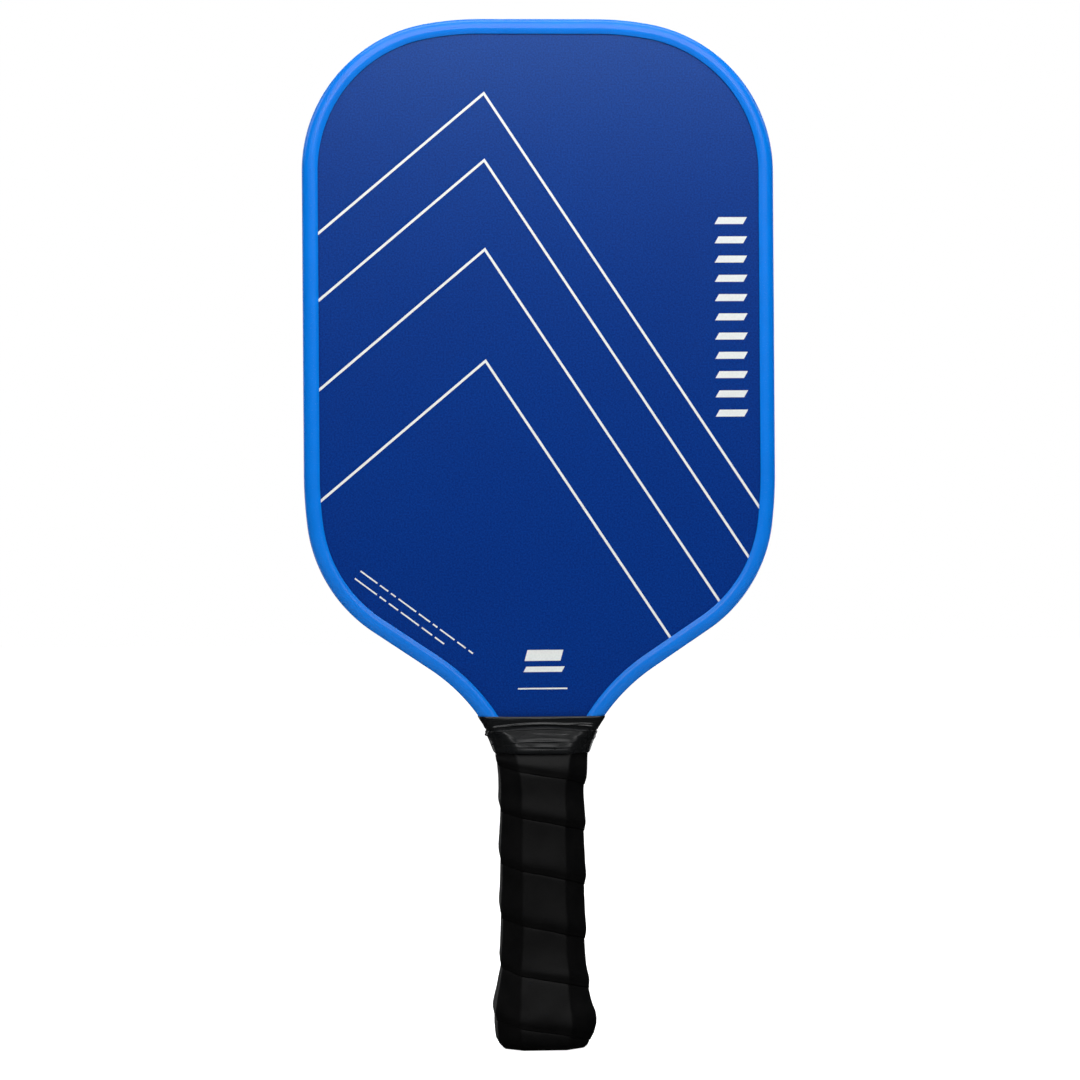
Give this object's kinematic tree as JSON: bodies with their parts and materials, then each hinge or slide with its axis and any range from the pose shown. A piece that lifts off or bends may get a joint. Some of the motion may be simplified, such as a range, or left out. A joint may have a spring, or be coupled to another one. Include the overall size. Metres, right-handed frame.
{
  "type": "pickleball paddle",
  "caption": "Flat rounded paddle with a honeycomb-cored hitting panel, a moulded edge guard and an octagonal wrapped handle with a flared butt.",
  "frame": {"origin": "centre of the butt cap's flat end, on the paddle's long axis", "axes": "+Z along the paddle from the butt towards the head; X across the face; -Y is the front face's outward direction, with Y the thickness"},
  "size_m": [0.1912, 0.0352, 0.4164],
  "materials": {
    "face_laminate": "satin navy laminate with a fine weave and thin white lines",
    "core_veil": "matte nonwoven",
    "core": "translucent white polypropylene",
    "guard": "satin blue elastomer",
    "adhesive": "clear adhesive",
    "shell": "moulded, matte",
    "cap": "moulded, satin black",
    "badge": "plain gloss black",
    "staple_steel": "plated wire",
    "grip": "matte black cushioned polyurethane, fine grain",
    "throat_tape": "glossy black vinyl",
    "collar": "satin black"
  },
  "bodies": {
    "root": {"front_face_skin": "face_laminate", "back_face_skin": "face_laminate", "front_core_veil": "core_veil", "back_core_veil": "core_veil", "honeycomb_core": "core", "edge_guard": "guard", "edge_guard_tape": "adhesive", "handle_shell_front": "shell", "handle_shell_back": "shell", "shell_tape_front": "adhesive", "shell_tape_back": "adhesive", "butt_cap": "cap", "butt_badge": "badge", "butt_cap_staples": "staple_steel", "grip_wrap": "grip", "grip_adhesive": "adhesive", "finishing_tape": "throat_tape", "throat_collar": "collar"}
  },
  "joints": []
}
